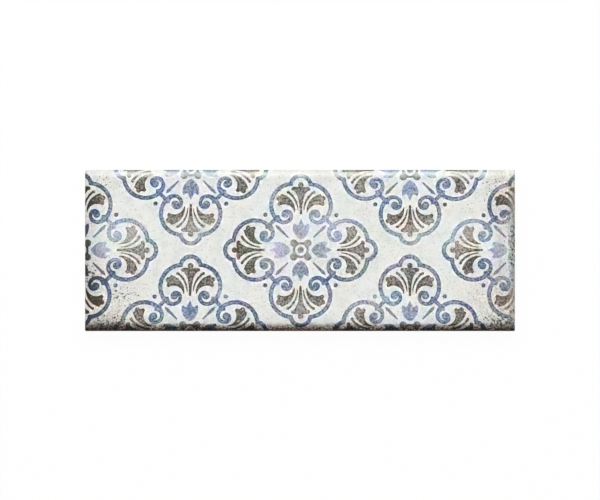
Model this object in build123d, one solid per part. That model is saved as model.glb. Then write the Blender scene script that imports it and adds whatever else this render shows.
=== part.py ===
from build123d import *
import math
import os

# A cushion-edged ceramic wall tile, pressed and fired as one piece. It lies on its back with the glazed
# face up. The origin is the middle of the back, X runs along the tile and Z points out of the face.

# Slab, in millimetres and degrees
tile_length = 200.0
tile_width = 75.0
tile_thickness = 9.0  # from the lands of the back to the flat of the face
corner_radius = 0.6  # upright corners, seen from above
side_draft = 1.5  # how far the sides lean in towards the back, so that the tile leaves its die
back_round = 0.35  # worn arris round the back

# Cushion edge: the face falls away to the sides along a quarter of an ellipse
cushion_width = 4.5  # how far in from the side the fall begins
cushion_drop = 3.0  # how far the face has fallen where it meets the side
face_corner_radius = 3.5  # corners of the flat of the face, seen from above
cushion_sections = 6  # steps that the quarter ellipse is lofted through

# Key on the back: a waffle of shallow pockets that the adhesive fills
key_depth = 0.7
key_rib = 3.0  # between two pockets
key_margin = 6.0  # plain land between the pockets and the sides
key_pitch = 19.0  # about how far apart the pockets are; their number follows from it
key_corner_radius = 2.0
key_draft = 30.0

shoulder_height = tile_thickness - cushion_drop  # where the side ends and the cushion begins


def rounded_outline(inset, radius, height):
    """The tile's outline drawn in by inset from the sides, at a height above the back."""
    outline = RectangleRounded(tile_length - 2 * inset, tile_width - 2 * inset, radius)
    return Pos(0, 0, height) * outline


def drafted_base():
    """The lower slab, from the shoulder down to the back, with its arris rounded."""
    base = extrude(rounded_outline(0, corner_radius, shoulder_height), -shoulder_height, taper=side_draft)
    return fillet(base.edges().group_by(Axis.Z)[0], back_round)


def cushion_section(share):
    """The outline at a share of the quarter turn, from 0 at the shoulder to 1 at the flat of the face."""
    turn = math.radians(90 * share)
    inset = cushion_width * (1 - math.cos(turn))
    height = shoulder_height + cushion_drop * math.sin(turn)
    radius = corner_radius + (face_corner_radius - corner_radius) * inset / cushion_width
    return rounded_outline(inset, radius, height)


def cushion():
    """The pillowed upper slab, from the shoulder to the face."""
    return loft([cushion_section(step / cushion_sections) for step in range(cushion_sections + 1)])


def even_pockets(side):
    """How many pockets fit along a side, and how long each one is."""
    room = side - 2 * key_margin
    count = max(1, round((room + key_rib) / key_pitch))
    return count, (room + key_rib) / count - key_rib


def key_pockets():
    """The pockets of the back, which narrow towards their floors."""
    columns, pocket_length = even_pockets(tile_length)
    rows, pocket_width = even_pockets(tile_width)
    mouth = RectangleRounded(pocket_length, pocket_width, key_corner_radius)
    pocket = extrude(mouth, key_depth, taper=key_draft)
    return GridLocations(pocket_length + key_rib, pocket_width + key_rib, columns, rows) * pocket


tile = drafted_base() + cushion() - key_pockets()

os.makedirs("parts", exist_ok=True)
export_step(tile, "parts/tile.step")
print("tile", tile.bounding_box().size, "volume", round(tile.volume), "faces", len(tile.faces()))
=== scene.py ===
"""Dresses a cushion-edged wall tile in a worn blue and taupe print and looks straight down on it.

The slab's sizes are in metres, as in the frame. The print, its wear, its stains and the painted
shade and highlight along its edges are drawn in millimetres on the face, from the middle of the
tile, with X along it and Y across it.
"""

import logging
import math
from collections.abc import Mapping, Sequence
from dataclasses import dataclass, fields
from enum import Enum
from functools import reduce

import bpy
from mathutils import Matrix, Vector


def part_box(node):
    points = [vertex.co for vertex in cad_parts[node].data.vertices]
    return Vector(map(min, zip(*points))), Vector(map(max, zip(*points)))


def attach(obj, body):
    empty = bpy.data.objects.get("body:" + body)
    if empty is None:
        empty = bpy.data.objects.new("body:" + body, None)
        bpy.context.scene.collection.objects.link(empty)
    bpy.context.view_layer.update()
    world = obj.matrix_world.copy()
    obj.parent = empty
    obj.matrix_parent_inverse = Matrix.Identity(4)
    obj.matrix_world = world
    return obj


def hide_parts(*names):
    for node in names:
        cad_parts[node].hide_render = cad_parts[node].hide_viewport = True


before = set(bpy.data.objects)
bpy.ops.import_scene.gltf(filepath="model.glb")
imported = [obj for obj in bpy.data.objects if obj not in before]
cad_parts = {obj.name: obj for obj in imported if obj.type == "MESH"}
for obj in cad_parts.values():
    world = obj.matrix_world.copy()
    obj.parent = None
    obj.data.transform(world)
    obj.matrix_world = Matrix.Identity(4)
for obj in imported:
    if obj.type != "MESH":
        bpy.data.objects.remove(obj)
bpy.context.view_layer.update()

LOG = logging.getLogger("tile")
MM = 0.001
WHITE = (1.0, 1.0, 1.0, 1.0)

Feed = "Wire | bpy.types.NodeSocket | bpy.types.Material | float | bool | str | tuple[float, ...]"
Number = "Field | float"
Spot = tuple[float, float, float]


@dataclass(frozen=True)
class Pigment:
    """A colour as a screen shows it, each part from 0 to 255."""

    red: int
    green: int
    blue: int

    @property
    def linear(self) -> tuple[float, float, float, float]:
        """The colour in the linear light that shaders work in, opaque."""
        return (*(self._unbend(level / 255) for level in (self.red, self.green, self.blue)), 1.0)

    @staticmethod
    def _unbend(share: float) -> float:
        """One part of the colour, freed of the screen's curve."""
        return share / 12.92 if share <= 0.04045 else ((share + 0.055) / 1.055) ** 2.4


@dataclass(frozen=True)
class Wire:
    """An output of a node, and the bench that what it feeds is added to."""

    bench: "Bench"
    socket: bpy.types.NodeSocket


class Field(Wire):
    """A number that varies over a surface."""

    def __add__(self, other: Number) -> "Field":
        """The sum."""
        return self.bench.math("ADD", self, other)

    def __sub__(self, other: Number) -> "Field":
        """The difference."""
        return self.bench.math("SUBTRACT", self, other)

    def __rsub__(self, other: float) -> "Field":
        """A plain number less this field."""
        return self.bench.math("SUBTRACT", other, self)

    def __mul__(self, other: Number) -> "Field":
        """The product."""
        return self.bench.math("MULTIPLY", self, other)

    def __truediv__(self, other: Number) -> "Field":
        """The quotient."""
        return self.bench.math("DIVIDE", self, other)

    def __neg__(self) -> "Field":
        """The field with its sign turned."""
        return self.bench.math("MULTIPLY", self, -1.0)

    def __abs__(self) -> "Field":
        """The field without its sign."""
        return self.bench.math("ABSOLUTE", self)

    def least(self, other: Number) -> "Field":
        """The smaller of two."""
        return self.bench.math("MINIMUM", self, other)

    def most(self, other: Number) -> "Field":
        """The larger of two."""
        return self.bench.math("MAXIMUM", self, other)

    def within(self, low: float, high: float) -> "Field":
        """The field held between two numbers."""
        return self.most(low).least(high)

    def rise(self, start: Number, end: Number, low: float = 0.0, high: float = 1.0) -> "Field":
        """A smooth step.

        Args:
            start: Where the step begins.
            end: Where it ends; below start, the step runs the other way.
            low: Its value before the start.
            high: Its value after the end.

        Returns:
            The stepped field.
        """
        feeds = dict(enumerate((self, start, end, low, high)))
        node = self.bench.add("ShaderNodeMapRange", feeds, interpolation_type="SMOOTHSTEP")
        return Field(self.bench, node.outputs[0])


class Tint(Wire):
    """A colour that varies over a surface."""

    def toward(self, other: "Tint | Pigment", amount: Number) -> "Tint":
        """This colour mixed with another, all of which shows at an amount of 1."""
        return self.bench.mix(amount, self, other)

    def filtered(self, other: "Tint | Pigment", amount: Number) -> "Tint":
        """This colour as seen through a stain of another."""
        return self.bench.mix(amount, self, other, blend="MULTIPLY")


class Bench:
    """A node tree, with short ways to add nodes to it and to join them."""

    COLOUR_A, COLOUR_B, COLOUR_OUT = 6, 7, 2  # sockets of a Mix node set to colours
    VECTOR_A, VECTOR_B, VECTOR_OUT = 4, 5, 1  # and of one set to vectors

    def __init__(self, tree: bpy.types.NodeTree) -> None:
        """Takes the tree that the nodes go into."""
        self.tree = tree

    def feed(self, socket: bpy.types.NodeSocket, value: Feed) -> None:
        """Joins a wire to an input, or sets the input to a plain value."""
        if isinstance(value, Wire):
            self.tree.links.new(value.socket, socket)
        elif isinstance(value, bpy.types.NodeSocket):
            self.tree.links.new(value, socket)
        elif isinstance(value, Pigment):
            socket.default_value = value.linear
        else:
            socket.default_value = value

    def add(self, kind: str, feeds: Mapping[int | str, Feed] | None = None, **choices: str) -> bpy.types.Node:
        """Adds a node.

        Args:
            kind: The node's type.
            feeds: What goes into its inputs, by name or number.
            choices: The node's own settings.

        Returns:
            The node.
        """
        node = self.tree.nodes.new(kind)
        for name, choice in choices.items():
            setattr(node, name, choice)
        for key, value in (feeds or {}).items():
            self.feed(node.inputs[key], value)
        return node

    def math(self, operation: str, *values: Number) -> Field:
        """The result of a sum on plain numbers and fields."""
        node = self.add("ShaderNodeMath", dict(enumerate(values)), operation=operation)
        return Field(self, node.outputs[0])

    def gauge(self, operation: str, *vectors: Feed) -> Field:
        """A number measured from vectors, such as a distance."""
        node = self.add("ShaderNodeVectorMath", dict(enumerate(vectors)), operation=operation)
        return Field(self, node.outputs["Value"])

    def mix(self, amount: Number, first: Feed, second: Feed, blend: str = "MIX") -> Tint:
        """Two colours mixed.

        Args:
            amount: The share of the second colour.
            first: The colour underneath.
            second: The colour on top.
            blend: How they mix.

        Returns:
            The mixed colour.
        """
        feeds = {0: amount, self.COLOUR_A: first, self.COLOUR_B: second}
        node = self.add("ShaderNodeMix", feeds, data_type="RGBA", blend_type=blend)
        return Tint(self, node.outputs[self.COLOUR_OUT])


@dataclass(frozen=True)
class Arc:
    """A circle of the drawing, in millimetres."""

    x: float
    y: float
    radius: float

    @property
    def centre(self) -> Spot:
        """The circle's middle."""
        return (self.x, self.y, 0.0)

    def tucked(self, radius: float, degrees: float) -> "Arc":
        """A smaller circle inside this one, touching it in a direction from its middle."""
        turn = math.radians(degrees)
        reach = self.radius - radius
        return Arc(self.x + reach * math.cos(turn), self.y + reach * math.sin(turn), radius)


@dataclass(frozen=True)
class Cut:
    """A straight cut through a point, in millimetres, that keeps the side a direction points to."""

    x: float
    y: float
    degrees: float

    @property
    def direction(self) -> Spot:
        """Unit vector into the side that is kept."""
        turn = math.radians(self.degrees)
        return (math.cos(turn), math.sin(turn), 0.0)

    @property
    def offset(self) -> float:
        """How far the cut lies from the drawing's middle, along its direction."""
        return self.x * self.direction[0] + self.y * self.direction[1]


@dataclass(frozen=True)
class Region:
    """A flat shape, held as the distance to its outline in millimetres, negative inside."""

    distance: Field

    def __or__(self, other: "Region") -> "Region":
        """Both shapes together."""
        return Region(self.distance.least(other.distance))

    def __and__(self, other: "Region") -> "Region":
        """What the shapes share."""
        return Region(self.distance.most(other.distance))

    def __sub__(self, other: "Region") -> "Region":
        """This shape without the other."""
        return Region(self.distance.most(-other.distance))


@dataclass(frozen=True)
class Grain:
    """A smooth noise: how wide its coarsest blotches are, in millimetres, and how it is layered."""

    size: float
    detail: float = 2.0  # how many finer layers it has
    roughness: float = 0.5  # how strong those are
    shift: float = 0.0  # moves it along, so that two noises differ
    strength: float = 1.0
    level: float = 0.0  # what it strays about


class Place(Wire):
    """A point of the surface, in millimetres, that shapes are drawn about."""

    NOISE_MIDDLE, NOISE_GAIN = 0.5, 4.0  # what brings a plain noise to about -1 to 1

    def move(self, operation: str, *vectors: Feed) -> "Place":
        """The point after a vector operation."""
        node = self.bench.add("ShaderNodeVectorMath", dict(enumerate((self, *vectors))), operation=operation)
        return Place(self.bench, node.outputs["Vector"])

    def parts(self) -> tuple[Field, Field, Field]:
        """The point's X, Y and Z."""
        node = self.bench.add("ShaderNodeSeparateXYZ", {0: self})
        x, y, z = (Field(self.bench, socket) for socket in node.outputs)
        return x, y, z

    def disc(self, arc: Arc) -> Region:
        """The inside of a circle."""
        return Region(self.bench.gauge("DISTANCE", self, arc.centre) - arc.radius)

    def ring(self, arc: Arc, width: float) -> Region:
        """A line of some width along a circle."""
        return Region(abs(self.disc(arc).distance) - width / 2)

    def beyond(self, *cuts: Cut) -> Region:
        """What all of some straight cuts keep."""
        sides = [Region(cut.offset - self.bench.gauge("DOT_PRODUCT", self, cut.direction)) for cut in cuts]
        return reduce(Region.__and__, sides)

    def noise(self, grain: Grain) -> bpy.types.Node:
        """Smooth noise about the point.

        Args:
            grain: How coarse it is and how it is layered.

        Returns:
            The noise node.
        """
        shift = grain.shift
        at = self.move("ADD", (shift, -shift, shift)) if shift else self
        feeds = {"Vector": at, "Scale": 1 / grain.size, "Detail": grain.detail, "Roughness": grain.roughness}
        return self.bench.add("ShaderNodeTexNoise", feeds)

    def blotch(self, grain: Grain) -> Field:
        """Smooth noise about the point, as far as its strength to either side of its level."""
        fac = Field(self.bench, self.noise(grain).outputs["Fac"])
        return (fac - self.NOISE_MIDDLE) * (self.NOISE_GAIN * grain.strength) + grain.level

    def swell(self, grain: Grain) -> Field:
        """Smooth noise about the point, held from 0 to 1."""
        return self.blotch(grain).within(0.0, 1.0)

    def stray(self, grain: Grain, spread: Spot, least: Spot) -> "Place":
        """Three smooth noises about the point, each with how far it strays and its least."""
        noises = Place(self.bench, self.noise(grain).outputs["Color"])
        return noises.move("MULTIPLY_ADD", spread, least)


class Ink(Enum):
    """The parts of the print, which each have an ink of their own."""

    LINE = "Line"
    LEAF = "Leaf"
    TULIP = "Tulip"
    SPEAR = "Spear"
    DOT = "Dot"
    ROSETTE = "Rosette"


@dataclass(frozen=True)
class Ornament:
    """The printed motif: four lobes with a palmette in each, scrolls between them and a rosette.

    One half of the upper lobe is drawn, in millimetres from the motif's middle. The place is folded
    into that half first, so the same drawing makes all eight.
    """

    line_width: float = 1.95
    cap: Arc = Arc(0.0, 30.4, 4.58)
    cap_foot: Cut = Cut(0.0, 30.2, 90)
    lobe: Arc = Arc(3.85, 21.1, 9.95)
    lobe_top: Cut = Cut(3.75, 31.0, 25)
    lobe_foot: Cut = Cut(0.0, 14.0, 90)

    sweep: Arc = Arc(8.0, 17.0, 5.0)
    sweep_start: Cut = Cut(8.0, 17.0, 330)
    turn_radius: float = 3.72
    turn_from: float = 240
    curl_radius: float = 2.7
    curl_from: float = 150
    eye: Arc = Arc(7.3, 16.75, 1.75)
    gap: Arc = Arc(7.6, 16.05, 2.24)
    spur_top: Cut = Cut(0.0, 16.35, 270)
    bridge_inner: Cut = Cut(12.45, 12.45, 45)
    bridge_outer: Cut = Cut(13.72, 13.72, 225)
    bridge_end: Cut = Cut(11.67, 14.5, 315)

    stem_side: Cut = Cut(0.52, 17.0, 177)
    stem_foot: Cut = Cut(0.0, 16.7, 90)
    stem_top: Cut = Cut(0.0, 24.0, 270)
    flare_side: Arc = Arc(9.37, 22.1, 8.4)
    flare_foot: Cut = Cut(0.0, 22.2, 90)
    flare_top: Cut = Cut(0.0, 29.7, 270)
    flare_end: Cut = Cut(3.65, 0.0, 180)
    flare_tip: Arc = Arc(3.6, 28.75, 0.85)
    knob: Arc = Arc(0.0, 30.65, 1.32)
    rib_outer: Arc = Arc(11.85, 19.0, 10.7)
    rib_inner: Arc = Arc(13.03, 17.5, 11.5)
    rib_foot: Cut = Cut(0.0, 18.6, 90)
    rib_top: Cut = Cut(6.0, 27.05, 225)
    rib_tip: Arc = Arc(6.0, 27.1, 0.7)
    wing_outer: Arc = Arc(10.7, 18.5, 8.05)
    wing_inner: Arc = Arc(7.6, 16.8, 4.6)
    wing_end: Cut = Cut(10.7, 0.0, 180)
    wing_foot: Cut = Cut(0.0, 17.6, 90)
    wing_corner: Cut = Cut(10.6, 21.05, 135)
    wing_bumps: tuple[Arc, ...] = (Arc(8.6, 25.5, 0.75), Arc(10.4, 24.25, 1.05), Arc(10.15, 21.7, 0.8))
    wing_notches: tuple[Arc, ...] = (Arc(10.2, 26.3, 0.95), Arc(11.45, 22.75, 0.8))

    cup: Arc = Arc(-2.35, 10.6, 6.2)
    cup_notch: Arc = Arc(1.85, 12.4, 0.85)
    cup_top: Cut = Cut(0.0, 12.25, 270)
    petal_side: Cut = Cut(0.0, 14.7, 205)
    petal_foot: Cut = Cut(0.0, 9.0, 90)

    spear_turn: float = 45
    spear_start: float = 8.5
    spear_length: float = 7.6
    spear_tail: float = 0.36  # half-widths
    spear_spread: float = 0.5
    spear_point: float = 2.6
    spear_tip: float = 0.34
    dot: Arc = Arc(16.4, 16.4, 1.0)
    boss: Arc = Arc(0.0, 0.0, 1.45)
    eyelet: Arc = Arc(0.0, 0.0, 2.65)
    frame_side: Cut = Cut(0.0, 3.68, 270)
    frame_corner: Arc = Arc(3.25, 3.25, 1.68)
    REACH = "Reach"  # the group's output for the distance from the motif's middle

    def group(self) -> bpy.types.NodeTree:
        """The motif as a node group.

        Returns:
            The group, from a place to its distances from each ink's shapes and from the motif's middle.
        """
        tree = bpy.data.node_groups.new("ornament", "ShaderNodeTree")
        tree.interface.new_socket("Place", in_out="INPUT", socket_type="NodeSocketVector")
        bench = Bench(tree)
        entry = bench.add("NodeGroupInput")
        half = self._folded(Place(bench, entry.outputs["Place"]))
        shapes = {
            Ink.LINE: self._outline(half) | self._scroll(half) | self._bridge(half),
            Ink.LEAF: self._leaf(half) | self._rib(half) | self._wing(half),
            Ink.TULIP: self._tulip(half),
            Ink.SPEAR: self._spear(half),
            Ink.DOT: half.disc(self.dot),
            Ink.ROSETTE: self._rosette(half),
        }
        leaving = {ink.value: shape.distance for ink, shape in shapes.items()}
        leaving[self.REACH] = bench.gauge("LENGTH", half)
        leave = bench.add("NodeGroupOutput")
        for name, field in leaving.items():
            tree.interface.new_socket(name, in_out="OUTPUT", socket_type="NodeSocketFloat")
            bench.feed(leave.inputs[name], field)
        return tree

    @staticmethod
    def _folded(place: Place) -> Place:
        """The place turned and mirrored into the right half of the upper lobe."""
        across, along, _ = place.move("ABSOLUTE").parts()
        feeds = {0: across.least(along), 1: across.most(along)}
        return Place(place.bench, place.bench.add("ShaderNodeCombineXYZ", feeds).outputs[0])

    def _outline(self, half: Place) -> Region:
        """The blue line round a lobe, with the small cap at its top."""
        cap = half.ring(self.cap, self.line_width) & half.beyond(self.cap_foot)
        lobe = half.ring(self.lobe, self.line_width) & half.beyond(self.lobe_top, self.lobe_foot)
        return cap | lobe

    def _scroll(self, half: Place) -> Region:
        """The scroll that the line ends in, whose circles shrink towards its eye."""
        turn = self.sweep.tucked(self.turn_radius, self.turn_from)
        curl = turn.tucked(self.curl_radius, self.curl_from)
        sweep = half.disc(self.sweep) & half.beyond(self.sweep_start, self.spur_top)
        bend = half.disc(turn) & half.beyond(Cut(turn.x, turn.y, self.turn_from))
        body = sweep | bend | half.disc(curl)
        return body - (half.disc(self.gap) - half.disc(self.eye))

    def _bridge(self, half: Place) -> Region:
        """The short bar between the scrolls of two lobes."""
        return half.beyond(self.bridge_inner, self.bridge_outer, self.bridge_end)

    def _leaf(self, half: Place) -> Region:
        """The palmette's middle leaf, with its knob."""
        stem = half.beyond(self.stem_side, self.stem_foot, self.stem_top)
        flare = half.beyond(self.flare_foot, self.flare_top, self.flare_end) - half.disc(self.flare_side)
        return stem | flare | half.disc(self.flare_tip) | half.disc(self.knob)

    def _rib(self, half: Place) -> Region:
        """The thin rib beside the middle leaf."""
        blade = half.disc(self.rib_outer) & half.beyond(self.rib_foot, self.rib_top)
        return (blade - half.disc(self.rib_inner)) | half.disc(self.rib_tip)

    def _wing(self, half: Place) -> Region:
        """The palmette's side leaf, with its scalloped end."""
        blade = half.disc(self.wing_outer) & half.beyond(self.wing_end, self.wing_foot, self.wing_corner)
        blade = blade - half.disc(self.wing_inner)
        whole = reduce(Region.__or__, map(half.disc, self.wing_bumps), blade)
        return reduce(Region.__sub__, map(half.disc, self.wing_notches), whole)

    def _tulip(self, half: Place) -> Region:
        """The tulip between the palmette and the rosette."""
        cup = (half.disc(self.cup) & half.beyond(self.cup_top)) - half.disc(self.cup_notch)
        return cup | half.beyond(self.petal_side, self.petal_foot)

    def _spear(self, half: Place) -> Region:
        """The spear on the diagonal, which widens outwards and then narrows to a blunt point."""
        diagonal = Cut(0.0, 0.0, self.spear_turn).direction
        along = half.bench.gauge("DOT_PRODUCT", half, diagonal)
        share = ((along - self.spear_start) / self.spear_length).within(0.0, 1.0)
        reach = share * self.spear_length + self.spear_start
        foot = half.bench.add("ShaderNodeVectorMath", {0: diagonal, "Scale": reach}, operation="SCALE")
        widening = share * self.spear_spread + self.spear_tail
        radius = widening.least((1.0 - share) * self.spear_point + self.spear_tip)
        return Region(half.bench.gauge("DISTANCE", half, foot.outputs["Vector"]) - radius)

    def _rosette(self, half: Place) -> Region:
        """The square frame in the middle, with its corner knobs, eyelet and boss."""
        square = half.beyond(self.frame_side) - half.disc(self.eyelet)
        return square | half.disc(self.frame_corner) | half.disc(self.boss)


@dataclass(frozen=True)
class Repeat:
    """How the motif repeats over the face, in millimetres: in rows, each shifted by half a step."""

    step_x: float = 102.0
    step_y: float = 76.0
    origin: Spot = (0.25, 0.23, 0.0)

    def nearest(self, place: Place) -> Place:
        """Finds the motif that a place lies in.

        Args:
            place: The place on the face.

        Returns:
            The place measured from that motif's middle.
        """
        half = (self.step_x / 2, self.step_y / 2, 1.0)
        low = tuple(-side for side in half)
        even = place.move("SUBTRACT", self.origin)
        odd = even.move("SUBTRACT", (half[0], half[1], 0.0))
        even, odd = (row.move("WRAP", half, low) for row in (even, odd))
        bench = place.bench
        in_odd = bench.math("LESS_THAN", bench.gauge("LENGTH", odd), bench.gauge("LENGTH", even))
        feeds = {0: in_odd, bench.VECTOR_A: even, bench.VECTOR_B: odd}
        node = bench.add("ShaderNodeMix", feeds, data_type="VECTOR")
        return Place(bench, node.outputs[bench.VECTOR_OUT])


@dataclass(frozen=True)
class InkLook:
    """How an ink looks where it is fresh and where it is worn, and how it varies."""

    fresh: Pigment
    worn: Pigment
    grain: float
    hue: float = 1.0  # how far its hue strays
    rim: float = 0.16  # how much fresher it is at the rim of a shape
    wears: float = 1.0  # how much of the wear shows on it
    denser: float = 0.0  # how much fresher it is towards the motif's middle
    outer: Pigment = Pigment(255, 255, 255)  # what filters it towards the motif's rim


@dataclass(frozen=True)
class Patch:
    """A soft oval on the face, in millimetres, and what it adds in its middle."""

    x: float
    y: float
    reach_x: float
    reach_y: float
    amount: float

    def field(self, face: Place) -> Field:
        """The patch over the face."""
        scale = (1 / self.reach_x, 1 / self.reach_y, 0.0)
        shift = (-self.x / self.reach_x, -self.y / self.reach_y, 0.0)
        away = face.bench.gauge("LENGTH", face.move("MULTIPLY_ADD", scale, shift))
        return away.rise(1.0, 0.0, high=self.amount)

    @classmethod
    def ovals(cls, *rows: tuple[float, ...]) -> tuple["Patch", ...]:
        """Some patches, each from its middle's X and Y, its reach along X and along Y, and its amount."""
        return tuple(cls(*row) for row in rows)

    @staticmethod
    def total(patches: Sequence["Patch"], face: Place) -> Field:
        """All of some patches added up."""
        return reduce(Field.__add__, (patch.field(face) for patch in patches))


class Edge(Enum):
    """The edges of the face."""

    LOWER = "lower"
    UPPER = "upper"
    LEFT = "left"
    RIGHT = "right"


@dataclass(frozen=True)
class Band:
    """A darkened strip along an edge: where it starts and is full, in millimetres in, and how dark it is.
    Some are stains, some painted shade.
    """

    edge: Edge
    start: float
    full: float
    amount: float


@dataclass(frozen=True)
class WearAndHighlight:
    """Where the print is worn pale and where it has stayed dark, and the painted highlight that fades it to
    white along the upper cushion.
    """

    highlight_fade: float = 0.72  # how much a painted highlight fades the print to white along the upper cushion
    RUB_IN, RUB_OUT = (0.3, 1.6), (4.4, 1.6)  # where the painted highlight starts and is full, in from the upper edge
    ENDS = (3.0, 6.0)  # and in from the ends
    CLOUD = Grain(7.0, 2.0, 0.6, 31.0, strength=0.11)
    FLECK = Grain(3.0, 2.0, 0.6, 57.0, strength=0.15, level=0.32)
    PALE = Patch.ovals(  # more worn than usual
        (-82, 8, 20, 14, 0.52), (-88, -1, 14, 9, 0.30), (-50, 9, 11, 14, 0.36), (-36, 12, 12, 14, 0.16),
        (-12, -1, 12, 16, 0.44), (12, 11, 30, 20, 0.39), (48, 4, 24, 12, 0.34), (74, 9, 26, 14, 0.42),
        (-15, 25, 9, 13, 0.34), (32, -23, 28, 11, 0.28), (0, -25, 9, 12, 0.20), (-36, -18, 12, 8, 0.18),
        (-84, -24, 10, 10, 0.24), (88, -20, 10, 16, 0.06), (95, -28, 8, 6, 0.16),
        (92.5, 29.5, 8, 4.5, 0.34), (94, 3, 8, 16, 0.34), (102, 0, 6, 60, 0.80),
        # (0, 33.4) pales the print along the upper edge: a painted highlight
        (0, 33.4, 150, 4.5, 0.15), (93, -13, 6, 6, 0.28), (-86.6, -15.8, 4, 4, 0.70),
        (-34.9, -21, 4, 4, 0.80), (34.7, -21, 4, 4, 0.80),
    )
    DARK = Patch.ovals(  # less worn
        (-74, 26, 22, 16, -0.20), (-52, 25, 10, 10, -0.16), (-28, 29, 14, 14, -0.12),
        (-28, 1, 12, 32, -0.24), (-44, -8, 14, 14, -0.26), (-51, -25, 13, 11, -0.28),
        (-73, -20, 14, 14, -0.22), (-93, -18, 15, 22, -0.40), (-100, 22, 13, 18, -0.42),
        (-97, -30, 9, 10, -0.50), (-101, 0, 7, 44, -0.55), (-25, -28, 20, 12, -0.10),
        # (0, -38) darkens the print along the lower edge, partly painted shade
        (0, -38, 130, 6, -0.60), (-62, -12, 9, 9, -0.12), (0, -12, 9, 7, -0.06), (46, 17, 16, 8, -0.18),
        (80, -8, 12, 10, -0.20), (80, -28, 10, 14, -0.24), (90, 20, 12, 12, -0.24),
        (99, 30, 4, 5, -0.60), (50, -15, 18, 10, -0.16), (12, -14, 18, 12, -0.14),
        (-50.5, 34.6, 7, 4.5, -0.25), (51, 34.6, 7, 4.5, -0.25),
    )
    UNFADED = Patch.ovals(  # spared by the painted highlight along the upper edge
        (-50.5, 34.6, 6, 4.5, 0.55), (51, 34.6, 6, 4.5, 0.60),
    )
    GONE = Patch.ovals(  # worn off at the right end
        (101.5, -2, 7.5, 46, 1.0), (100, -34, 6, 8, 0.80),
    )

    def field(self, face: Place) -> Field:
        """How worn the print is, from about 0 where it is fresh to 1."""
        return Patch.total(self.PALE + self.DARK, face) + face.blotch(self.CLOUD) + face.blotch(self.FLECK)

    def left(self, face: Place, inward: Mapping[Edge, Field]) -> Field:
        """Finds how much of the print shows along the edges, under the painted highlight and the wear.

        Args:
            face: The place on the face.
            inward: How far in from each edge the place lies.

        Returns:
            From 0, where the painted highlight along the upper cushion whitens the print and where the print
            is worn off at the right end, to 1.
        """
        depth = inward[Edge.UPPER]
        ends = (inward[edge].rise(*self.ENDS) for edge in (Edge.LEFT, Edge.RIGHT))
        open_to_highlight = (1.0 - Patch.total(self.UNFADED, face)).most(0.0)
        # painted highlight: a strip along the lit upper cushion where the print fades to white
        strip = depth.rise(*self.RUB_IN) * depth.rise(*self.RUB_OUT)
        upper = strip * reduce(Field.__mul__, ends) * open_to_highlight
        return (1.0 - upper * self.highlight_fade) * (1.0 - Patch.total(self.GONE, face)).within(0.0, 1.0)


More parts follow.
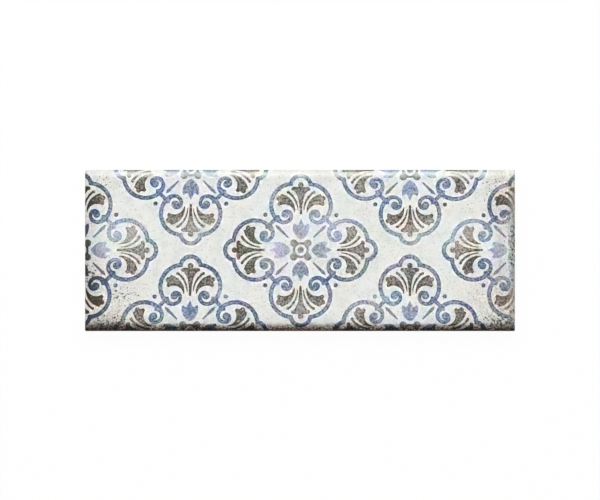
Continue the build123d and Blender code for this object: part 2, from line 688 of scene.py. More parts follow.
@dataclass(frozen=True)
class GrimeAndShade:
    """The dirt on the face, and painted shade along its edges: dark along the edges, partly stain and partly
    painted shade, a film near them and pinholes in clusters.
    """

    # the lower edge's dark brown: partly a burned stain, partly painted shade on the cushion that turns from
    # the light
    soot_and_shade: Pigment = Pigment(78, 49, 35)
    # grey of the edge strips and smudges: painted shade along the upper edge, dirt along the right and left
    # and in the smudges
    dust_and_shade: Pigment = Pigment(62, 57, 48)
    # darkens the print: partly painted shade along the lower edge, burned along the left
    char: Pigment = Pigment(40, 36, 42)
    film: Pigment = Pigment(216, 202, 186)
    pit: Pigment = Pigment(54, 47, 40)
    pit_shade: float = 0.85
    # the speckled brown of the lower edge's darkening, which is partly painted shade
    scorch_and_shade_spread: Spot = (0.5, 0.45, 0.5)
    scorch_and_shade_least: Spot = (0.75, 0.775, 0.73)
    RAGGED = (Grain(4.0, 3.0, 0.6, 7.0, strength=0.55), Grain(1.0, 2.0, 0.7, 23.0, strength=0.45))
    BAND_GRAIN = Grain(0.9, 1.0, 0.6, 61.0, strength=0.45, level=1.0)
    FILM_GRAIN = Grain(0.9, 1.0, 0.6, 53.0, strength=1.5, level=0.55)
    SMUDGE_GRAIN = Grain(1.2, 2.0, 0.7, 67.0, strength=0.6, level=1.0)
    SCORCH_AND_SHADE_GRAIN = Grain(1.6, 1.0, 0.6, 91.0)
    PIT_GRAIN = Grain(1.05, 1.0, 0.6, 47.0)
    PIT = (1.25, 1.65)  # where a pinhole starts and is full
    # strips along the edges: the lower ones partly stain and partly painted shade, the upper ones painted
    # shade, the right and left ones dirt
    STAINS_AND_SHADE = (
        Band(Edge.LOWER, 9.0, 3.5, 0.11),
        Band(Edge.LOWER, 4.1, 2.4, 0.57),
        Band(Edge.LOWER, 2.6, 0.4, 0.46),
        # painted shade: these two dim the lit upper cushion
        Band(Edge.UPPER, 6.5, 3.5, 0.06),
        Band(Edge.UPPER, 1.4, 0.5, 0.09),
        Band(Edge.RIGHT, 3.7, 2.7, 0.29),
        Band(Edge.RIGHT, 2.4, 0.5, 0.20),
        Band(Edge.LEFT, 8.5, 4.5, 0.06),
    )
    # the lower strip darkens the print partly as a burned stain and partly as painted shade; the left one is
    # burning
    CHARS_AND_SHADE = (
        Band(Edge.LOWER, 3.8, 1.0, 0.95),
        Band(Edge.LEFT, 3.4, 1.0, 0.50),
    )
    SMUDGED = Patch.ovals(  # greyed with dirt, or wiped where negative
        (-100, -8, 9, 32, 0.20), (-90, -38, 26, 8, 0.40), (88, -38, 26, 8, 0.42),
        (93.5, -6, 5.5, 60, 0.15), (101, 37, 8, 14, -0.50), (101, -30, 6, 11, -0.22),
        (-93, -35, 15, 7, 0.30),
    )
    CHARRED = Patch.ovals(  # burnt darker
        # darkened by burning
        (-98, -14, 12, 30, 0.29), (-99, 22, 8, 16, 0.25),
    )
    FILMED = Patch.ovals(  # under a film of dirt
        (-92, -34, 22, 12, 0.40), (-92, -20, 26, 30, 0.55), (-99, 20, 18, 26, 0.35),
        (97, 22, 18, 26, 0.55), (94, -24, 26, 26, 0.66),
    )
    PITTED = Patch.ovals(  # full of pinholes
        (-82, -21, 15, 13, 1.12), (-97, -12, 9, 14, 1.20), (-88, -34, 26, 9, 1.30),
        (-90, 32, 18, 9, 0.85), (-100, 14, 7, 24, 0.90), (-48, -4, 18, 8, 0.50),
        (-35, -19, 12, 12, 0.40), (89, 30, 16, 12, 0.90), (80, 18, 12, 14, 0.60),
        (83, -18, 15, 10, 0.78), (92, -33, 20, 10, 1.35), (98, 0, 9, 40, 0.95), (100, -4, 4, 40, 0.60),
        (-100, -12, 4, 30, 0.30), (94, -4, 3, 40, 0.20),
    )

    def bands(self, bands: Sequence[Band], face: Place, inward: Mapping[Edge, Field]) -> Field:
        """Adds up some strips along the edges, with a ragged inner side and a grain.

        Args:
            bands: The strips.
            face: The place on the face.
            inward: How far in from each edge the place lies.

        Returns:
            How dark they are together.
        """
        ragged = reduce(Field.__add__, map(face.blotch, self.RAGGED))
        strips = (
            (inward[band.edge] + ragged).rise(band.start, band.full, high=band.amount) for band in bands
        )
        return reduce(Field.__add__, strips) * face.blotch(self.BAND_GRAIN)

    def charred_and_shaded(self, face: Place, inward: Mapping[Edge, Field]) -> Field:
        """How dark the print is along the lower and left edges: burned along the left, and along the lower
        partly burned and partly painted shade.
        """
        return self.bands(self.CHARS_AND_SHADE, face, inward) + Patch.total(self.CHARRED, face)

    def stained_and_shaded(self, colour: Tint, face: Place, inward: Mapping[Edge, Field]) -> Tint:
        """The face with its stains, and with painted shade along the lower and upper edges.

        Args:
            colour: The clean face.
            face: The place on it.
            inward: How far in from each edge the place lies.

        Returns:
            The colour with its stains and painted shade.
        """
        film = Patch.total(self.FILMED, face) * face.blotch(self.FILM_GRAIN)
        colour = colour.filtered(self.film, film)
        colour = colour.toward(self.pit, self.pits(face) * self.pit_shade)
        soot_and_shade = [band for band in self.STAINS_AND_SHADE if band.edge is Edge.LOWER]
        # greys the face: painted shade along the upper edge, dirt along the right and left and in the smudges
        dust_and_shade = [band for band in self.STAINS_AND_SHADE if band.edge is not Edge.LOWER]
        smudge = Patch.total(self.SMUDGED, face) * face.blotch(self.SMUDGE_GRAIN)
        colour = colour.filtered(self.dust_and_shade, self.bands(dust_and_shade, face, inward) + smudge)
        # the lower edge darkens to brown-black: partly a burned stain, partly painted shade
        burnt_and_shaded = self.bands(soot_and_shade, face, inward)
        speckled = face.stray(self.SCORCH_AND_SHADE_GRAIN, self.scorch_and_shade_spread, self.scorch_and_shade_least)
        return colour.filtered(self.soot_and_shade, burnt_and_shaded).filtered(Tint(face.bench, speckled.socket), burnt_and_shaded)

    def pits(self, face: Place) -> Field:
        """Dark pinholes in the glaze, from 0 to 1."""
        return (face.blotch(self.PIT_GRAIN) + Patch.total(self.PITTED, face)).rise(*self.PIT)


@dataclass(frozen=True)
class PrintedGlaze:
    """The tile's finish: an off-white glaze with a worn print, stains along the edges and painted shade and
    highlight there, over bare clay.
    """

    ground: Pigment = Pigment(245, 247, 244)
    ground_near_line: Pigment = Pigment(247, 251, 253)
    ground_near_leaf: Pigment = Pigment(255, 253, 246)
    dull: Pigment = Pigment(203, 203, 197)
    dull_near_line: Pigment = Pigment(203, 209, 216)
    clay: Pigment = Pigment(201, 185, 164)
    clay_dark: Pigment = Pigment(174, 154, 131)
    mauve: Pigment = Pigment(255, 242, 243)
    ornament: Ornament = Ornament()
    repeat: Repeat = Repeat()
    wear: WearAndHighlight = WearAndHighlight()
    grime_and_shade: GrimeAndShade = GrimeAndShade()
    ink_softness: float = 0.08
    ink_level: float = 0.06  # wear that every ink has
    hue_spread: Spot = (0.95, 0.3, 0.95)  # how far red, green and blue stray
    dullness: float = 0.33
    mottle: float = 0.4
    speck_strength: float = 3.4
    speck_by_print: float = 1.6
    speck_by_film: float = 4.0
    ground_hue: float = 0.15
    ground_hue_by_print: float = 0.22
    glaze_end: float = 3.0  # heights above the back
    glaze_fade: float = 0.25
    print_end: float = 6.0
    print_fade: float = 0.3
    char_and_shade_sheen: float = 0.75  # roughness where the print is darkened along the lower edge, partly by painted shade, and along the left
    clay_sheen: float = 0.92
    pit_sheen: float = 0.8
    specular: float = 0.2
    relief_strength: float = 0.35
    relief_depth: float = 0.12 * MM

    # Where something starts and is full: in from a shape's outline, from the motif's middle or from the print
    RIM, DENSE, OUTER = (-0.9, -0.2), (27.0, 17.0), (20.0, 32.0)
    HALO, LEAF_HALO = (1.7, 0.2), (1.1, 0.2)
    MOTTLED, SPECKED, CLOUDED = (-0.5, 1.3), (0.4, 1.6), (-0.6, 1.0)  # and on a noise
    INK_GRAIN = Grain(0.95, 1.0, 0.6, 17.0)
    HUE_GRAIN = Grain(9.0, 1.0, 0.5, 71.0)
    MOTTLE_GRAIN = Grain(6.0, 4.0, 0.75, 11.0)
    SPECK_GRAIN = Grain(0.8, 1.0, 0.6, 83.0)
    LIFT_GRAIN = Grain(2.2, 2.0, 0.7, 37.0, strength=1.25, level=0.06)
    GLAZE_GRAIN = Grain(5.0, strength=0.5)
    SHEEN_GRAIN = Grain(9.0, 3.0, strength=0.05, level=0.3)
    CLAY_GRAIN = Grain(7.0, 4.0, 0.6, 41.0)
    RIPPLE_GRAIN = Grain(6.0, 2.0, 0.5, 3.0, strength=0.35)
    TOOTH_GRAIN = Grain(0.9, 1.0, 0.5, 5.0, strength=0.05)
    WAVERS = ((Grain(26.0, 1.0), 0.12), (Grain(1.3, 1.0), 0.14))  # and how far they pull the print

    INKS = {
        Ink.LINE: InkLook(
            Pigment(70, 87, 118), Pigment(191, 198, 207), 0.52, 0.8, outer=Pigment(255, 253, 241)
        ),
        Ink.LEAF: InkLook(Pigment(76, 71, 62), Pigment(191, 188, 183), 0.56, 0.5, denser=0.24),
        Ink.TULIP: InkLook(Pigment(93, 114, 144), Pigment(200, 205, 217), 0.48, 0.62, rim=-0.05),
        Ink.SPEAR: InkLook(Pigment(104, 110, 115), Pigment(187, 190, 193), 0.40, wears=0.8),
        Ink.DOT: InkLook(Pigment(70, 75, 80), Pigment(191, 194, 194), 0.40, wears=0.5),
        Ink.ROSETTE: InkLook(Pigment(97, 103, 95), Pigment(198, 202, 195), 0.34, 0.4),
    }
    MAUVE = Patch.ovals(  # leaning to mauve
        (104, 0, 28, 60, 0.5), (1, 2, 24, 22, 1.3), (92, 28, 12, 10, 0.8),
    )
    SMOOTH = Patch.ovals(  # with fewer specks
        (27, 12, 24, 24, -1.3), (64, 2, 16, 30, -1.4), (-68, 10, 16, 14, -1.0), (20, -25, 18, 11, -1.1),
    )
    SLIPS_X = Patch.ovals(  # how far the print has slipped, in millimetres
        (100, -5, 80, 75, 0.80), (-72, -32, 70, 30, 0.52), (-100, -14, 24, 28, 0.30),
        (-20, 28, 25, 16, -0.20), (-60, 34, 60, 20, -0.18), (12, 16, 40, 34, -0.24),
    )
    SLIPS_Y = Patch.ovals((60, 40, 150, 40, 0.85))

    def material(self, slab: "SlabSizes") -> bpy.types.Material:
        """Builds the finish.

        Args:
            slab: The slab that it goes on.

        Returns:
            The material.
        """
        material = bpy.data.materials.new("printed_glaze")
        material.use_nodes = True
        bench = Bench(material.node_tree)
        shader = bench.tree.nodes["Principled BSDF"]
        object_place = Place(bench, bench.add("ShaderNodeTexCoord").outputs["Object"])
        solid = object_place.move("MULTIPLY", (1 / MM, 1 / MM, 1 / MM))
        face = solid.move("ADD", (0.0, 0.0, -slab.thickness / MM))
        height = solid.parts()[2]
        inward = self._inward(solid, slab)

        distances, reach = self._print(face)
        above = height.rise(self.print_end - self.print_fade, self.print_end + self.print_fade)
        # the print fades to white under a painted highlight along the upper cushion, and where it is worn off
        shown = above * self.wear.left(face, inward)
        wear = self.wear.field(face)
        cast = self._cast(face)
        # how dark the print is along the lower edge, partly painted shade, and along the left, burned
        char = self.grime_and_shade.charred_and_shaded(face, inward)
        colour = self._ground(face, distances, cast)
        for ink, distance in distances.items():
            cover = distance.rise(self.ink_softness, -self.ink_softness) * shown
            inked = self._inked(face, self.INKS[ink], distance, reach, wear, cast)
            colour = colour.toward(inked.filtered(self.grime_and_shade.char, char), cover)
        # stains, with painted shade along the lower and upper edges
        colour = self.grime_and_shade.stained_and_shaded(colour, face, inward)
        wavy = height + solid.blotch(self.GLAZE_GRAIN)
        bare = wavy.rise(self.glaze_end + self.glaze_fade, self.glaze_end - self.glaze_fade)
        bench.feed(shader.inputs["Base Color"], colour.toward(self._bare_clay(solid), bare))

        pits = self.grime_and_shade.pits(face)
        rough = solid.blotch(self.SHEEN_GRAIN)
        rough = rough.most(char * self.char_and_shade_sheen).most(bare * self.clay_sheen).most(pits * self.pit_sheen)
        bench.feed(shader.inputs["Roughness"], rough)
        shader.inputs["Specular IOR Level"].default_value = self.specular
        bench.feed(shader.inputs["Normal"], self._relief(bench, solid, pits))
        return material

    @staticmethod
    def _inward(solid: Place, slab: "SlabSizes") -> dict[Edge, Field]:
        """Measures a place from the edges.

        Args:
            solid: The place on the slab.
            slab: The slab.

        Returns:
            How far in over the face, or down the side, it lies from each edge, in millimetres.
        """
        x, y, z = solid.parts()
        half_length, half_width = slab.length / MM / 2, slab.width / MM / 2
        below = ((slab.thickness - slab.cushion_drop) / MM - z).most(0.0)
        return {
            Edge.LOWER: y + half_width + below,
            Edge.UPPER: half_width - y + below,
            Edge.LEFT: x + half_length + below,
            Edge.RIGHT: half_length - x + below,
        }

    def _print(self, face: Place) -> tuple[dict[Ink, Field], Field]:
        """Draws the print, with the slips and the waver of a hand-laid one.

        Args:
            face: The place on the face.

        Returns:
            The distance to each ink's shapes, and the distance from the motif's middle.
        """
        bench = face.bench
        slips = {0: Patch.total(self.SLIPS_X, face), 1: Patch.total(self.SLIPS_Y, face)}
        flat = face.move("MULTIPLY", (1.0, 1.0, 0.0))
        drawn = flat.move("ADD", bench.add("ShaderNodeCombineXYZ", slips).outputs[0])
        for grain, pull in self.WAVERS:
            drawn = drawn.move("ADD", flat.stray(grain, (2 * pull, 2 * pull, 0.0), (-pull, -pull, 0.0)))
        group = bench.add("ShaderNodeGroup", node_tree=self.ornament.group())
        bench.feed(group.inputs["Place"], self.repeat.nearest(drawn))
        distances = {ink: Field(bench, group.outputs[ink.value]) for ink in Ink}
        return distances, Field(bench, group.outputs[self.ornament.REACH])

    def _cast(self, face: Place) -> Tint:
        """The uneven hue of the firing, as a filter."""
        least = tuple(1.0 - spread / 2 for spread in self.hue_spread)
        return Tint(face.bench, face.stray(self.HUE_GRAIN, self.hue_spread, least).socket)

    def _ground(self, face: Place, distances: Mapping[Ink, Field], cast: Tint) -> Tint:
        """The off-white glaze, mottled and specked, cooler or warmer and less even beside the print.

        Args:
            face: The place on the face.
            distances: How far it is from each ink's shapes.
            cast: The filter of uneven hue.

        Returns:
            The ground's colour.
        """
        halo = reduce(Field.least, distances.values()).rise(*self.HALO)
        colour = face.bench.mix(halo, self.ground, self.ground_near_line)
        dull = face.bench.mix(halo, self.dull, self.dull_near_line)
        by_leaf = distances[Ink.LEAF].rise(*self.LEAF_HALO)
        colour, dull = colour.toward(self.ground_near_leaf, by_leaf), dull.toward(self.dull, by_leaf)
        mottle = face.blotch(self.MOTTLE_GRAIN).rise(*self.MOTTLED) * self.mottle
        by_film = Patch.total(self.grime_and_shade.FILMED, face) * self.speck_by_film
        rough = Patch.total(self.SMOOTH, face) + by_film + halo * self.speck_by_print + self.speck_strength
        specks = face.blotch(self.SPECK_GRAIN).rise(*self.SPECKED) * rough
        lifted = halo * face.blotch(self.LIFT_GRAIN)
        colour = colour.toward(dull, (mottle + specks + self.dullness) * (1.0 - lifted))
        return colour.filtered(cast, halo * self.ground_hue_by_print + self.ground_hue)

    def _inked(
        self, face: Place, look: InkLook, distance: Field, reach: Field, wear: Field, cast: Tint
    ) -> Tint:
        """The colour of one ink.

        Args:
            face: The place on the face.
            look: How the ink looks.
            distance: How far the place is from the ink's shapes.
            reach: How far it is from the motif's middle.
            wear: How worn the print is there.
            cast: The filter of uneven hue.

        Returns:
            The ink's colour.
        """
        grain = face.blotch(self.INK_GRAIN) * look.grain
        rim = distance.rise(*self.RIM, high=look.rim)
        dense = reach.rise(*self.DENSE, high=look.denser)
        tone = (wear * look.wears + grain - rim - dense + self.ink_level).within(0.0, 1.0)
        colour = face.bench.mix(tone, look.fresh, look.worn).filtered(cast, look.hue)
        colour = colour.filtered(look.outer, reach.rise(*self.OUTER))
        return colour.filtered(self.mauve, Patch.total(self.MAUVE, face) * look.hue)

    def _bare_clay(self, solid: Place) -> Tint:
        """The fired clay of the lower sides and the back."""
        cloud = solid.blotch(self.CLAY_GRAIN).rise(*self.CLOUDED)
        return solid.bench.mix(cloud, self.clay, self.clay_dark)

    def _relief(self, bench: Bench, solid: Place, pits: Field) -> Field:
        """Raises the glaze's ripple and sinks its pinholes.

        Args:
            bench: The material's bench.
            solid: The place on the slab.
            pits: How deep a pinhole is there.

        Returns:
            The shading normal.
        """
        wavy = solid.blotch(self.RIPPLE_GRAIN) + solid.blotch(self.TOOTH_GRAIN)
        feeds = {"Strength": self.relief_strength, "Distance": self.relief_depth, "Height": wavy - pits}
        return Field(bench, bench.add("ShaderNodeBump", feeds).outputs["Normal"])


@dataclass(frozen=True)
class SlabSizes:
    """The pressed slab's sizes, in metres."""

    length: float
    width: float
    thickness: float
    cushion_width: float = 4.5 * MM
    cushion_drop: float = 3.0 * MM
    corner_radius: float = 0.6 * MM
    face_corner_radius: float = 3.5 * MM
    back_round: float = 0.35 * MM
    edge_waver: float = 0.05 * MM
    face_wave: float = 0.10 * MM
    key_depth: float = 0.7 * MM
    key_rib: float = 3.0 * MM
    key_margin: float = 6.0 * MM
    key_corner_radius: float = 2.0 * MM

    @classmethod
    def from_frame(cls, node: str) -> "SlabSizes":
        """The sizes of the slab that fills a node's box."""
        low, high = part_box(node)
        return cls(*(high - low))


class Slab:
    """The tile itself: a cushioned face, drafted sides and a keyed back, made by Geometry Nodes."""

    NODE, BODY, SLOT, NAME = "tile", "root", "glazed_clay", "glazed_tile"
    CUSHION_STEPS = 10
    FACE_STEPS_X, FACE_STEPS_Y = 110, 38  # from the cushion to the middle
    SIDE_STEPS = 4
    SIDE_DRAFT = math.tan(math.radians(1.5))
    KEY_COLUMNS, KEY_ROWS = 10, 3
    KEY_CORNER_STEPS = 5
    KEY_FLOOR_SHARE = 0.953  # of the mouth's size
    KEY_CLEAR = 0.3 * MM  # how far the cutting shape stands out of the back
    WELD = 0.002 * MM
    SMOOTH_UNDER = math.radians(35)
    NO_LENGTH = 1e-9  # keeps a division from zero
    FACE_GRAIN = Grain(38.0, 1.0, strength=0.5, level=0.5)
    EDGE_GRAINS = tuple(Grain(11.0, shift=shift, strength=0.5, level=0.5) for shift in (13.0, 29.0))

    def __init__(self, finish: PrintedGlaze) -> None:
        """Takes the sizes from the frame.

        Args:
            finish: What the slab is coated with.
        """
        self.sizes = SlabSizes.from_frame(self.NODE)
        self.finish = finish
        self.tree = bpy.data.node_groups.new("pressed_slab", "GeometryNodeTree")
        self.bench = Bench(self.tree)
        self.inputs: dict[str, str] = {}
        self.given: dict[str, Field] = {}

    def build(self) -> bpy.types.Object:
        """Makes the slab, dresses it and ties it to the frame.

        Returns:
            The finished piece.
        """
        self._grow_tree()
        piece = bpy.data.objects.new(self.NAME, bpy.data.meshes.new(self.NAME))
        bpy.context.scene.collection.objects.link(piece)
        press = piece.modifiers.new("pressed_slab", "NODES")
        press.node_group = self.tree
        for size in fields(self.sizes):
            press[self.inputs[size.name]] = getattr(self.sizes, size.name)
        press[self.inputs["finish"]] = self.finish.material(self.sizes)
        graph = bpy.context.evaluated_depsgraph_get()
        mesh = bpy.data.meshes.new_from_object(piece.evaluated_get(graph))
        piece.modifiers.remove(press)
        piece.data = mesh
        mesh.name = self.NAME
        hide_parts(self.NODE)
        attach(piece, self.BODY)
        return piece

    def _grow_tree(self) -> None:
        """Lays out the tree, from its named inputs to the dressed mesh."""
        tree, bench = self.tree, self.bench
        for size in fields(self.sizes):
            socket = tree.interface.new_socket(size.name, in_out="INPUT", socket_type="NodeSocketFloat")
            self.inputs[size.name] = socket.identifier
        socket = tree.interface.new_socket("finish", in_out="INPUT", socket_type="NodeSocketMaterial")
        self.inputs["finish"] = socket.identifier
        tree.interface.new_socket("slab", in_out="OUTPUT", socket_type="NodeSocketGeometry")
        entry = bench.add("NodeGroupInput")
        self.given = {size.name: Field(bench, entry.outputs[size.name]) for size in fields(self.sizes)}
        shell = self._closed(*self._sides(self._face()))
        cutting = {"operation": "DIFFERENCE", "solver": "MANIFOLD"}
        keyed = bench.add("GeometryNodeMeshBoolean", {0: shell, 1: self._keys()}, **cutting)
        angle = Field(bench, bench.add("GeometryNodeInputMeshEdgeAngle").outputs["Unsigned Angle"])
        soft = bench.math("LESS_THAN", angle, self.SMOOTH_UNDER)
        smooth = bench.add("GeometryNodeSetShadeSmooth", {0: keyed.outputs[0]}, domain="FACE")
        feeds = {0: smooth.outputs[0], "Shade Smooth": soft}
        creased = bench.add("GeometryNodeSetShadeSmooth", feeds, domain="EDGE")
        whole = bench.add("GeometryNodeRealizeInstances", {0: creased.outputs[0]})
        feeds = {0: whole.outputs[0], "Material": entry.outputs["finish"]}
        dressed = bench.add("GeometryNodeSetMaterial", feeds)
        bench.feed(bench.add("NodeGroupOutput").inputs["slab"], dressed.outputs[0])

    def _inset(self, steps: Field, half_size: Field, face_steps: int) -> Field:
        """How far a grid line lies in from its side: close together on the cushion, then evenly.

        Args:
            steps: The line's number, counted from the side.
            half_size: Half of the slab's size across the lines.
            face_steps: How many steps the flat of the face has from the cushion to the middle.

        Returns:
            The distance from the side.
        """
        cushion = self.given["cushion_width"]
        turn = steps.least(self.CUSHION_STEPS) * (math.pi / 2 / self.CUSHION_STEPS)
        curved = cushion * (1.0 - self.bench.math("COSINE", turn))
        pitch = (half_size - cushion) / face_steps
        return curved + (steps - self.CUSHION_STEPS).most(0.0) * pitch

    def _face(self) -> bpy.types.NodeSocket:
        """Makes the face and its cushion from a grid.

        Returns:
            The mesh, whose frames are rounded at the corners and fall to the sides.
        """
        bench, given = self.bench, self.given
        half_x, half_y = self.CUSHION_STEPS + self.FACE_STEPS_X, self.CUSHION_STEPS + self.FACE_STEPS_Y
        sides = {"Size X": 2.0 * half_x, "Size Y": 2.0 * half_y}
        lines = {"Vertices X": 2 * half_x + 1, "Vertices Y": 2 * half_y + 1}
        grid = bench.add("GeometryNodeMeshGrid", {**sides, **lines})
        number_x, number_y, _ = Place(bench, bench.add("GeometryNodeInputPosition").outputs[0]).parts()
        half_length, half_width = given["length"] * 0.5, given["width"] * 0.5
        inset_x = self._inset(half_x - abs(number_x), half_length, self.FACE_STEPS_X)
        inset_y = self._inset(half_y - abs(number_y), half_width, self.FACE_STEPS_Y)

        level = inset_x.least(inset_y)
        share = (level / given["cushion_width"]).least(1.0)
        radius = given["corner_radius"] + (given["face_corner_radius"] - given["corner_radius"]) * share
        radius = radius.least(half_width - level)
        from_x, from_y = (radius + level - inset for inset in (inset_x, inset_y))
        reach = bench.math("SQRT", from_x * from_x + from_y * from_y)
        in_corner = bench.math("GREATER_THAN", from_x.least(from_y), 0.0)
        pull = (radius / reach.most(self.NO_LENGTH) - 1.0) * in_corner
        place_x = (half_length - inset_x + from_x * pull) * bench.math("SIGN", number_x)
        place_y = (half_width - inset_y + from_y * pull) * bench.math("SIGN", number_y)

        fall = 1.0 - share
        left = bench.math("SQRT", (1.0 - fall * fall).most(0.0))
        height = given["thickness"] - given["cushion_drop"] * (1.0 - left)
        flat = Place(bench, bench.add("ShaderNodeCombineXYZ", {0: place_x, 1: place_y}).outputs[0])
        in_mm = flat.move("MULTIPLY", (1 / MM, 1 / MM, 0.0))
        wave = in_mm.swell(self.FACE_GRAIN) * given["face_wave"] * share
        waver = given["edge_waver"] * (1.0 - share) * -1.0
        stray_x, stray_y = (in_mm.swell(grain) * waver for grain in self.EDGE_GRAINS)
        feeds = {
            0: place_x + stray_x * bench.math("SIGN", number_x),
            1: place_y + stray_y * bench.math("SIGN", number_y),
            2: height - wave,
        }
        moved = bench.add("ShaderNodeCombineXYZ", feeds)
        feeds = {"Geometry": grid.outputs["Mesh"], "Position": moved.outputs[0]}
        return bench.add("GeometryNodeSetPosition", feeds).outputs[0]

    def _sides(self, face: bpy.types.NodeSocket) -> tuple[bpy.types.NodeSocket, bpy.types.NodeSocket]:
        """Draws the face's rim down to the back: drafted sides, then a rounded arris.

        Args:
            face: The face's mesh.

        Returns:
            The mesh with its sides, and the edges that run round its open back.
        """
        bench, given = self.bench, self.given
        neighbours = bench.add("GeometryNodeInputMeshEdgeNeighbors").outputs[0]
        rim = bench.math("COMPARE", Field(bench, neighbours), 1.0, 0.1).socket
        straight = (given["thickness"] - given["cushion_drop"] - given["back_round"]) / self.SIDE_STEPS
        steps = [(straight, straight * self.SIDE_DRAFT)] * self.SIDE_STEPS
        lean = math.sin(math.pi / 4)
        steps.append((given["back_round"] * lean, given["back_round"] * (1 - lean)))
        steps.append((given["back_round"] * (1 - lean), given["back_round"] * lean))
        mesh = face
        for drop, inset in steps:
            feeds = {"Mesh": mesh, "Selection": rim, "Offset Scale": 0.0}
            skirt = bench.add("GeometryNodeExtrudeMesh", feeds, mode="EDGES")
            rim = skirt.outputs["Top"]
            feeds = {"Geometry": skirt.outputs["Mesh"], "Selection": rim, "Offset": self._step(drop, inset)}
            mesh = bench.add("GeometryNodeSetPosition", feeds).outputs[0]
        return mesh, rim

    def _step(self, drop: Field, inset: Field) -> Place:
        """A step down, and from the slab's outline towards its middle.

        Args:
            drop: How far down.
            inset: How far in, square to the outline as seen from above.

        Returns:
            The step for each point of the outline.
        """
        bench, given = self.bench, self.given
        place = Place(bench, bench.add("GeometryNodeInputPosition").outputs[0])
        x, y, _ = place.parts()
        past = [
            (abs(at) - (given[size] * 0.5 - given["corner_radius"])).most(0.0) * bench.math("SIGN", at) * -1.0
            for at, size in ((x, "length"), (y, "width"))
        ]
        way = Place(bench, bench.add("ShaderNodeCombineXYZ", dict(enumerate(past))).outputs[0])
        feeds = {0: way.move("NORMALIZE"), "Scale": inset}
        node = bench.add("ShaderNodeVectorMath", feeds, operation="SCALE")
        down = bench.add("ShaderNodeCombineXYZ", {2: -drop})
        return Place(bench, node.outputs["Vector"]).move("ADD", down.outputs[0])

    def _closed(self, shell: bpy.types.NodeSocket, rim: bpy.types.NodeSocket) -> bpy.types.NodeSocket:
        """Fills the shell's open back and welds it on.

        Args:
            shell: The face with its sides.
            rim: The edges round the open back.

        Returns:
            The closed mesh.
        """
        bench = self.bench
        loop = bench.add("GeometryNodeMeshToCurve", {"Mesh": shell, "Selection": rim})
        back = bench.add("GeometryNodeFillCurve", {0: loop.outputs[0]}, mode="NGONS")
        back = bench.add("GeometryNodeFlipFaces", {0: back.outputs[0]})
        return self._welded(shell, back.outputs[0])

    def _welded(self, *meshes: bpy.types.NodeSocket) -> bpy.types.NodeSocket:
        """Joins meshes where their points meet.

        Args:
            meshes: The meshes.

        Returns:
            The joined mesh.
        """
        join = self.bench.add("GeometryNodeJoinGeometry")
        for mesh in meshes:
            self.bench.feed(join.inputs[0], mesh)
        feeds = {0: join.outputs[0], "Distance": self.WELD}
        return self.bench.add("GeometryNodeMergeByDistance", feeds).outputs[0]

    def _keys(self) -> bpy.types.NodeSocket:
        """Makes the shapes that cut the key pockets into the back.

        Returns:
            Their mesh, with one shape over each point of a grid.
        """
        bench, given = self.bench, self.given
        counts = {"length": self.KEY_COLUMNS, "width": self.KEY_ROWS}
        pitch = {
            side: (given[side] - given["key_margin"] * 2.0 + given["key_rib"]) / count
            for side, count in counts.items()
        }
        mouth = {"Width": pitch["length"] - given["key_rib"], "Height": pitch["width"] - given["key_rib"]}
        outline = bench.add("GeometryNodeCurvePrimitiveQuadrilateral", mouth)
        feeds = {0: outline.outputs[0], "Count": self.KEY_CORNER_STEPS, "Radius": given["key_corner_radius"]}
        rounded = bench.add("GeometryNodeFilletCurve", feeds, mode="POLY")
        flat = bench.add("GeometryNodeFillCurve", {0: rounded.outputs[0]}, mode="NGONS")
        feeds = {"Mesh": flat.outputs[0], "Offset Scale": given["key_depth"] + self.KEY_CLEAR}
        raised = bench.add("GeometryNodeExtrudeMesh", feeds, mode="FACES")
        feeds = {0: raised.outputs["Mesh"], "Selection": raised.outputs["Top"], "Scale": self.KEY_FLOOR_SHARE}
        tapered = bench.add("GeometryNodeScaleElements", feeds, domain="FACE")
        base = bench.add("GeometryNodeFlipFaces", {0: flat.outputs[0]})
        solid = self._welded(tapered.outputs[0], base.outputs[0])
        spread = {
            "Size X": pitch["length"] * (self.KEY_COLUMNS - 1.0),
            "Size Y": pitch["width"] * (self.KEY_ROWS - 1.0),
        }
        lines = {"Vertices X": self.KEY_COLUMNS, "Vertices Y": self.KEY_ROWS}
        points = bench.add("GeometryNodeMeshGrid", {**spread, **lines})
        lowered = {"Geometry": points.outputs["Mesh"], "Offset": (0.0, 0.0, -self.KEY_CLEAR)}
        points = bench.add("GeometryNodeSetPosition", lowered)
        copies = bench.add("GeometryNodeInstanceOnPoints", {"Points": points.outputs[0], "Instance": solid})
        return bench.add("GeometryNodeRealizeInstances", {0: copies.outputs[0]}).outputs[0]


@dataclass(frozen=True)
class Lamp:
    """A soft box that shines on the tile."""

    name: str
    place: Spot
    width: float
    depth: float
    power: float

    def build(self) -> None:
        """Puts the lamp in the scene, turned to the tile."""
        light = bpy.data.lights.new(self.name, "AREA")
        light.shape = "RECTANGLE"
        light.size, light.size_y = self.width, self.depth
        light.energy = self.power
        lamp = bpy.data.objects.new(self.name, light)
        lamp.location = self.place
        lamp.rotation_euler = (-Vector(self.place)).to_track_quat("-Z", "Y").to_euler()
        bpy.context.scene.collection.objects.link(lamp)


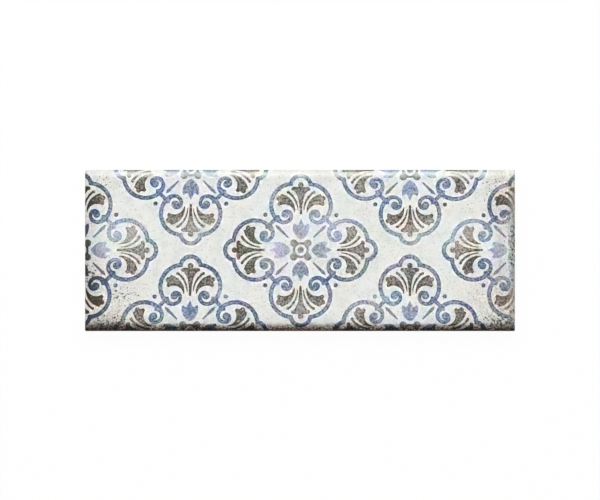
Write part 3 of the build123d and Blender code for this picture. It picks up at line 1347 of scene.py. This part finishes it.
@dataclass(frozen=True)
class Studio:
    """The pale floor, the soft light and the camera that looks straight down."""

    sky_strength: float = 0.475
    floor_half: float = 3.0
    floor_paint: tuple[float, ...] = (0.9, 0.9, 0.9, 1.0)
    floor_glow: float = 0.96  # share of the floor's white that the eye sees whatever shade lies on it
    lamps: tuple[Lamp, ...] = (
        Lamp("key", (0.0, 1.44, 1.56), 2.4, 1.0, 38.0),
        Lamp("front_fill", (-1.0, -2.2, 1.0), 1.8, 1.2, 6.75),
    )
    image_width: float = 600.0
    tile_pixels: float = 430.0
    tile_below_middle: float = 0.5  # pixels from the image's middle to the tile's
    camera_height: float = 1.6
    sensor: float = 36.0

    def build(self, sizes: SlabSizes) -> None:
        """Sets up the floor, the light and the camera.

        Args:
            sizes: The slab that the camera frames.
        """
        bpy.context.scene.view_settings.view_transform = "Standard"
        self._floor()
        self._sky()
        for lamp in self.lamps:
            lamp.build()
        self._camera(sizes)

    @staticmethod
    def _seen(bench: Bench) -> Field:
        """1 for rays from the eye, or by way of a reflection or glass, and 0 for light on its way."""
        path = bench.add("ShaderNodeLightPath")
        rays = ("Is Camera Ray", "Is Glossy Ray", "Is Transmission Ray")
        return reduce(Field.most, (Field(bench, path.outputs[ray]) for ray in rays))

    def _floor(self) -> None:
        """A plain white floor that keeps a trace of the tile's shadow."""
        side = self.floor_half
        mesh = bpy.data.meshes.new("floor")
        corners = [(-side, -side, 0), (side, -side, 0), (side, side, 0), (-side, side, 0)]
        mesh.from_pydata(corners, [], [(0, 1, 2, 3)])
        floor = bpy.data.objects.new("floor", mesh)
        bpy.context.scene.collection.objects.link(floor)
        material = bpy.data.materials.new("floor")
        material.use_nodes = True
        bench = Bench(material.node_tree)
        bench.tree.nodes.remove(bench.tree.nodes["Principled BSDF"])
        paint = bench.add("ShaderNodeBsdfDiffuse", {"Color": self.floor_paint})
        glow = bench.add("ShaderNodeEmission", {"Color": WHITE, "Strength": 1.0})
        share = self._seen(bench) * self.floor_glow
        both = bench.add("ShaderNodeMixShader", {0: share, 1: paint.outputs[0], 2: glow.outputs[0]})
        bench.feed(bench.tree.nodes["Material Output"].inputs["Surface"], both.outputs[0])
        mesh.materials.append(material)

    def _sky(self) -> None:
        """Even light from all round, white where it is seen."""
        world = bpy.data.worlds.new("sky")
        world.use_nodes = True
        bench = Bench(world.node_tree)
        light = bench.tree.nodes["Background"]
        light.inputs["Color"].default_value = WHITE
        light.inputs["Strength"].default_value = self.sky_strength
        seen = bench.add("ShaderNodeBackground", {"Color": WHITE, "Strength": 1.0})
        feeds = {0: self._seen(bench), 1: light.outputs[0], 2: seen.outputs[0]}
        both = bench.add("ShaderNodeMixShader", feeds)
        bench.feed(bench.tree.nodes["World Output"].inputs["Surface"], both.outputs[0])
        bpy.context.scene.world = world

    def _camera(self, sizes: SlabSizes) -> None:
        """Hangs a long lens above the tile, which is as large in the image as its width in pixels says.

        Args:
            sizes: The slab that the camera frames.
        """
        per_pixel = sizes.length / self.tile_pixels
        lens = bpy.data.cameras.new("camera")
        lens.sensor_width = self.sensor
        shoulder = sizes.thickness - sizes.cushion_drop
        lens.lens = self.sensor * (self.camera_height - shoulder) / (per_pixel * self.image_width)
        camera = bpy.data.objects.new("camera", lens)
        camera.location = (0.0, self.tile_below_middle * per_pixel, self.camera_height)
        bpy.context.scene.collection.objects.link(camera)
        bpy.context.scene.camera = camera


def main() -> None:
    """Builds the tile and its studio, and reports each piece."""
    logging.basicConfig(level=logging.INFO, format="%(name)s: %(message)s")
    slab = Slab(PrintedGlaze())
    piece = slab.build()
    triangles = sum(len(face.vertices) - 2 for face in piece.data.polygons)
    LOG.info("%s: %d triangles, stands for node %s", piece.name, triangles, slab.NODE)
    Studio().build(slab.sizes)
    LOG.info("studio: floor, sky, lamps and camera")


if __name__ == "__main__":
    main()
